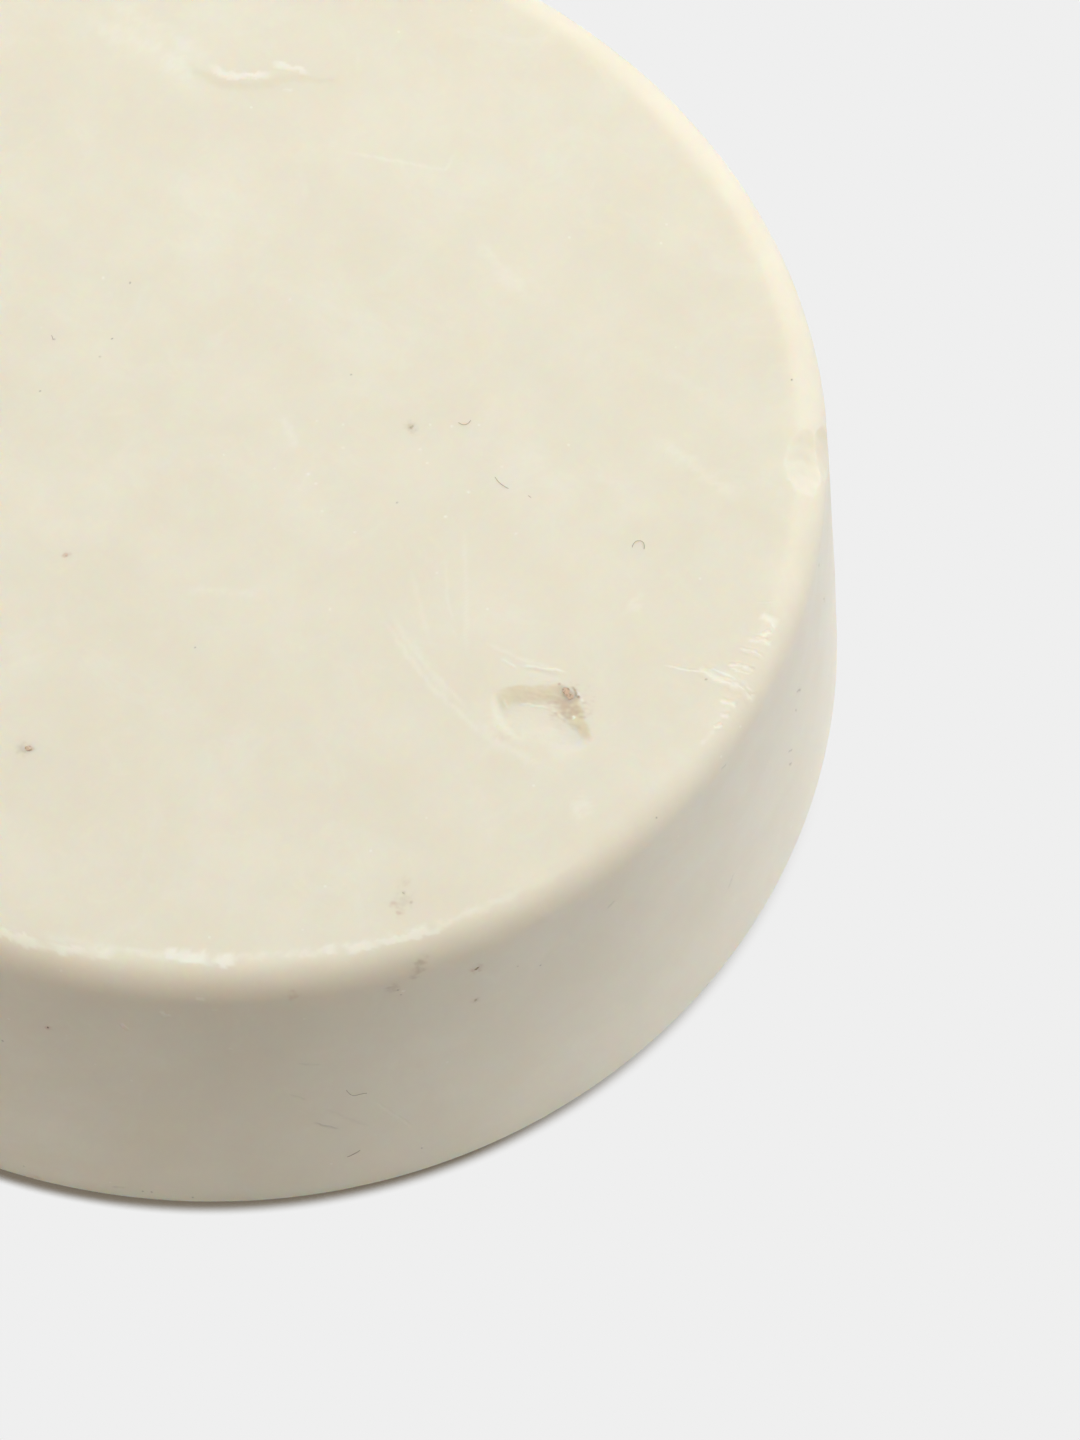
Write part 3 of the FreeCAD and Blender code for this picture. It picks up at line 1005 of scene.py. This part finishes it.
def grains(name, node, rows, material):
    """All the grains of one kind as one piece; each carries its own depth of colour."""
    made = bmesh.new()
    depth = made.verts.layers.float.new("depth")
    for *shape, dark in rows:
        for vertex in crumb(made, *shape):
            vertex[depth] = dark
    mesh = bpy.data.meshes.new(name)
    made.to_mesh(mesh)
    made.free()
    mesh.shade_smooth()
    mesh.materials.append(material)
    piece = put_on_root(name, mesh)
    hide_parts(node)
    return piece


print("grains:", len(RED_GRAINS), "red,", len(BROWN_GRAINS), "brown")

# %% [markdown]
# A grain has no gloss of its own, has dark speckles where its bump is low, which are
# partly painted shade in its hollows, and shows through a thin skin of soap, so the
# palest of them hardly differ from it. Both kinds share one recipe with their own
# colours: at its palest, at its darkest, and in the hollows.

# %% Mineral and plant grains
def grain_material(name, pale, deep, hollow):
    """Grain from its palest and deepest colour, and the colour of its hollows, which is partly painted
    shade.
    """
    material, tree = new_material(name)
    where = add_node(tree, "ShaderNodeTexCoord").outputs["Object"]
    depth = add_node(tree, "ShaderNodeAttribute", attribute_name="depth").outputs["Fac"]
    colours = {0: depth, 6: paint(pale), 7: paint(deep)}
    own = add_node(tree, "ShaderNodeMix", colours, data_type="RGBA").outputs[2]

    # Hollows of about a sixth of a millimetre, partly painted shade, darker the darker the grain is
    pattern = {"Vector": where, "Scale": per(0.16), "Detail": 3.0}
    speckle = add_node(tree, "ShaderNodeTexNoise", pattern).outputs["Fac"]
    stretch = {"Value": speckle, "From Min": 0.5, "From Max": 0.41, "To Max": 1.3}
    speckles_and_shade = add_node(tree, "ShaderNodeMapRange", stretch).outputs["Result"]
    share = add_node(tree, "ShaderNodeMath", {0: speckles_and_shade, 1: depth}, operation="MULTIPLY").outputs[0]
    colours = {0: share, 6: own, 7: paint(hollow)}
    mixed = add_node(tree, "ShaderNodeMix", colours, data_type="RGBA").outputs[2]
    rough = {"Height": speckle, "Strength": 0.4, "Distance": 0.03 * MM}
    relief = add_node(tree, "ShaderNodeBump", rough)
    shader = add_node(
        tree,
        "ShaderNodeBsdfPrincipled",
        {
            "Base Color": mixed,
            "Roughness": 0.7,
            "IOR": 1.5,
            "Subsurface Weight": 0.5,
            "Subsurface Radius": (0.5, 0.3, 0.2),
            "Subsurface Scale": 1.0 * MM,
            "Normal": relief.outputs["Normal"],
        },
    )
    add_node(tree, "ShaderNodeOutputMaterial", {"Surface": shader.outputs[0]})
    return material


# Iron-red clay reads as a faint coral where it is thin, and bran as tan or brown
# The last colour of each grain is that of its hollows, partly painted shade
red_clay = grain_material("iron_red_clay", "#E9CBB3", "#BE9A70", "#7C5A3C")
bran = grain_material("brown_bran", "#DBD0B1", "#8B7762", "#4A3A2C")
red_grains = grains("red_grains", "red_specks", RED_GRAINS, red_clay)
brown_grains = grains("brown_grains", "brown_specks", BROWN_GRAINS, bran)
print("grain faces:", len(red_grains.data.polygons), "red,", len(brown_grains.data.polygons), "brown")

# %% [markdown]
# ## Lint
#
# A satin cake picks up a few short fibres. Each is a bent tube that lies on the skin,
# so it casts its own hair of a shadow. A curve with a bevel makes it, and the tube is
# then turned into a plain mesh, so that all the fibres are one piece.

# %% Shapes of the lint
LINT = [
    over_top((13.2, 1.9), (13.45, 1.7), (13.7, 1.75), (13.85, 2.08)),
    over_top((15.38, -1.3), (15.55, -1.6), (15.8, -1.8), (16.15, -1.95)),
    over_top((17.25, -2.3), (17.4, -2.42)),
    over_top((23.05, -5.05), (23.1, -4.7), (23.45, -4.5), (23.75, -4.75), (23.7, -5.1)),
    over_top((19.5, -20.05), (19.75, -19.85), (20.3, -19.55)),
    over_top((16.9, -22.35), (17.5, -22.12)),
    over_top((-9.25, 5.62), (-9.15, 5.36)),
    over_side((-73.8, 11.3), (-73.5, 10.7), (-73.0, 10.4), (-72.5, 10.6), (-71.9, 10.5)),
    over_side((-73.7, 3.9), (-73.2, 3.95), (-72.5, 4.35)),
]
LINT_RADIUS = 0.015


def lint_mesh():
    """All the fibres as one mesh, each a tube along a smooth line through its places."""
    curve = bpy.data.curves.new("lint", "CURVE")
    curve.dimensions = "3D"
    curve.bevel_depth = LINT_RADIUS * MM
    curve.bevel_resolution = 1
    curve.use_fill_caps = True
    for path in LINT:
        spline = curve.splines.new("NURBS")
        spline.points.add(len(path) - 1)
        for knot, (point, out) in zip(spline.points, path):
            knot.co = (*((point + 1.2 * LINT_RADIUS * out) * MM), 1.0)
        spline.use_endpoint_u = True
        spline.order_u = min(4, len(path))
    holder = bpy.data.objects.new("lint_curve", curve)
    mesh = bpy.data.meshes.new_from_object(holder)
    bpy.data.objects.remove(holder)
    bpy.data.curves.remove(curve)
    return mesh


print("lint:", len(LINT), "fibres", 2 * LINT_RADIUS, "mm thick")

# %% [markdown]
# Lint is cotton or paper: undyed cellulose that has gone grey-brown with dirt. It is
# matt, and no two stretches of a fibre are quite the same colour.

# %% Cellulose lint
lint_material, tree = new_material("cellulose_lint")
where = add_node(tree, "ShaderNodeTexCoord").outputs["Object"]
uneven = add_node(tree, "ShaderNodeTexNoise", {"Vector": where, "Scale": per(0.3)}).outputs["Fac"]
colours = {0: uneven, 6: paint("#8B7C66"), 7: paint("#B4A892")}
lint_colour = add_node(tree, "ShaderNodeMix", colours, data_type="RGBA").outputs[2]
finish = {"Base Color": lint_colour, "Roughness": 0.6, "IOR": 1.53}
lint_shader = add_node(tree, "ShaderNodeBsdfPrincipled", finish)
add_node(tree, "ShaderNodeOutputMaterial", {"Surface": lint_shader.outputs[0]})
fibres = lint_mesh()
fibres.name = "lint"
fibres.shade_smooth()
fibres.materials.append(lint_material)
lint = put_on_root("lint", fibres)
print("lint:", len(fibres.polygons), "faces")

# %% [markdown]
# ## Floor
#
# The puck stands on a plain pale floor of matt paper. To the lamps it is plain
# diffuse paper, and what it sends back is what lights the side. To the eye it is an
# even pale grey with a painted shadow only where the round of the foot leaves a narrow gap.
# A light path node tells the two apart, so that neither upsets the other.

# %% The floor's sheet
FLOOR_HALF = 3.0
# A hair's breadth under the puck, so that light which leaks out of the base comes back off it
FLOOR_LEVEL = -0.02 * MM
corners = [(-1, -1), (1, -1), (1, 1), (-1, 1)]
floor_mesh = bpy.data.meshes.new("floor")
floor_points = [(x * FLOOR_HALF, y * FLOOR_HALF, FLOOR_LEVEL) for x, y in corners]
floor_mesh.from_pydata(floor_points, [], [(0, 1, 2, 3)])
floor = bpy.data.objects.new("floor", floor_mesh)
bpy.context.scene.collection.objects.link(floor)
print("floor:", 2 * FLOOR_HALF, "m wide")

# %% [markdown]
# Under and round the puck the paper is near white. Further out it is a little
# greyer, so that the low part of the side gets light and the rest isn't washed out.
# The gap's painted shadow comes from ambient occlusion over less than a millimetre,
# with its normal tipped to the right and the back. On the side that faces the lamp on
# the right the painted shadow is faded out by its bearing from the axis.

# %% Matt paper
sweep, tree = new_material("matt_paper_sweep")
where = add_node(tree, "ShaderNodeTexCoord").outputs["Object"]
from_axis = add_node(tree, "ShaderNodeVectorMath", {0: where}, operation="LENGTH").outputs["Value"]
card = add_node(tree, "ShaderNodeMapRange", {"Value": from_axis, "From Min": 0.05, "From Max": 0.12})
colours = {0: card.outputs["Result"], 6: paint("#FBFAF7"), 7: paint("#C8C5BF")}
card_colour = add_node(tree, "ShaderNodeMix", colours, data_type="RGBA").outputs[2]
paper = add_node(tree, "ShaderNodeBsdfDiffuse", {"Color": card_colour})

# The camera sees a painted shadow in the gap: ambient occlusion, faded out by bearing on the right lamp's
# side
towards_light = add_node(tree, "ShaderNodeCombineXYZ", {"X": 0.55, "Y": 0.2, "Z": 1.0}).outputs[0]
gap_inputs = {"Distance": 0.8 * MM, "Normal": towards_light}
gap = add_node(tree, "ShaderNodeAmbientOcclusion", gap_inputs, samples=12).outputs["AO"]
dark = add_node(tree, "ShaderNodeMapRange", {"Value": gap, "From Min": 0.95, "From Max": 0.6})
outward = add_node(tree, "ShaderNodeVectorMath", {0: where}, operation="NORMALIZE").outputs["Vector"]
right_lamp_way = {0: outward, 1: (0.88, 0.47, 0.0)}
facing_lamp = add_node(tree, "ShaderNodeVectorMath", right_lamp_way, operation="DOT_PRODUCT")
falling = {"Value": facing_lamp.outputs["Value"], "From Min": 0.8, "From Max": 0.0}
shadow_fade_by_bearing = add_node(tree, "ShaderNodeMapRange", falling).outputs["Result"]
product = {0: dark.outputs["Result"], 1: shadow_fade_by_bearing}
painted_shadow = add_node(tree, "ShaderNodeMath", product, operation="MULTIPLY").outputs[0]
colours = {0: painted_shadow, 6: paint("#EFEFEF"), 7: paint("#786F61")}
seen_colour = add_node(tree, "ShaderNodeMix", colours, data_type="RGBA").outputs[2]
seen_sweep = add_node(tree, "ShaderNodeEmission", {"Color": seen_colour})

ray = add_node(tree, "ShaderNodeLightPath").outputs
straight = {0: ray["Is Camera Ray"], 1: ray["Is Glossy Ray"]}
seen = add_node(tree, "ShaderNodeMath", straight, operation="MAXIMUM").outputs[0]
through = {0: seen, 1: ray["Is Transmission Ray"]}
seen = add_node(tree, "ShaderNodeMath", through, operation="MAXIMUM").outputs[0]
both = {0: seen, 1: paper.outputs[0], 2: seen_sweep.outputs[0]}
surface = add_node(tree, "ShaderNodeMixShader", both)
add_node(tree, "ShaderNodeOutputMaterial", {"Surface": surface.outputs[0]})
floor_mesh.materials.append(sweep)
print("paper:", len(tree.nodes), "nodes")

# %% [markdown]
# ## Light and camera
#
# Half of the light comes from a lamp almost straight above the puck, so the floor is
# lit evenly. A soft lamp behind the puck gives the top its sheen and lets the front
# of the rim fall into shade. Two low and weaker lamps keep the right side open and
# lift the left a little, and a faint warm sky fills what is left. Only the lamp
# behind may be seen in the satin skin, so the others make no spots on it.

# %% Lamps
def lamp(name, bearing, elevation, distance, size, light, tint, gleams=False):
    """A square lamp that looks at the puck. Light of 1 shows white paper facing it as white."""
    data = bpy.data.lights.new(name, "AREA")
    data.shape = "SQUARE"
    data.size = size
    data.energy = light * math.pi**2 * distance**2
    data.color = paint(tint)[:3]
    made = bpy.data.objects.new(name, data)
    turn = math.radians(bearing)
    rise = math.radians(elevation)
    way = Vector((math.cos(rise) * math.cos(turn), math.cos(rise) * math.sin(turn), math.sin(rise)))
    made.location = way * distance
    made.rotation_euler = (-way).to_track_quat("-Z", "Y").to_euler()
    made.visible_camera = False
    made.visible_glossy = gleams
    bpy.context.scene.collection.objects.link(made)
    print(name, round(data.energy, 3), "W")


lamp("overhead_key", 90, 88.8, distance=1.0, size=0.1, light=0.57, tint="#F8FAFF")
lamp("back_key", 75, 50, distance=0.4, size=0.3, light=0.45, tint="#FAFFFE", gleams=True)
lamp("right_fill", 8, 3.5, distance=1.1, size=0.12, light=0.35, tint="#F2F4FF")
lamp("left_fill", -150, 7, distance=1.1, size=0.24, light=0.1, tint="#FBEAE4")

world = bpy.data.worlds.new("studio")
bpy.context.scene.world = world
world.use_nodes = True
sky = world.node_tree.nodes["Background"].inputs
sky["Color"].default_value = paint("#FFF1E2")
sky["Strength"].default_value = 0.16

# %% [markdown]
# The camera is a long lens that looks down at about 63 degrees, close enough that
# the puck runs out of the frame at the top and on the left.

# %% Camera
ELEVATION = math.radians(63.06)
ROLL = math.radians(3.75)
AIM = Vector((18.68 * MM, -3.94 * MM, 0.0))
DISTANCE = 873.2 * MM
SENSOR_WIDTH = 36.0
FOCAL_LENGTH = 392.9
camera_data = bpy.data.cameras.new("camera")
camera_data.sensor_width = SENSOR_WIDTH
camera_data.lens = FOCAL_LENGTH
camera_data.clip_end = 20.0
camera = bpy.data.objects.new("camera", camera_data)
towards = Vector((0.0, -math.cos(ELEVATION), math.sin(ELEVATION)))
camera.matrix_world = (
    Matrix.Translation(AIM + DISTANCE * towards)
    @ (-towards).to_track_quat("-Z", "Y").to_matrix().to_4x4()
    @ Matrix.Rotation(ROLL, 4, "Z")
)
bpy.context.scene.collection.objects.link(camera)
bpy.context.scene.camera = camera
bpy.context.scene.view_settings.view_transform = "Standard"
print("camera at", [round(value, 4) for value in camera.matrix_world.translation])
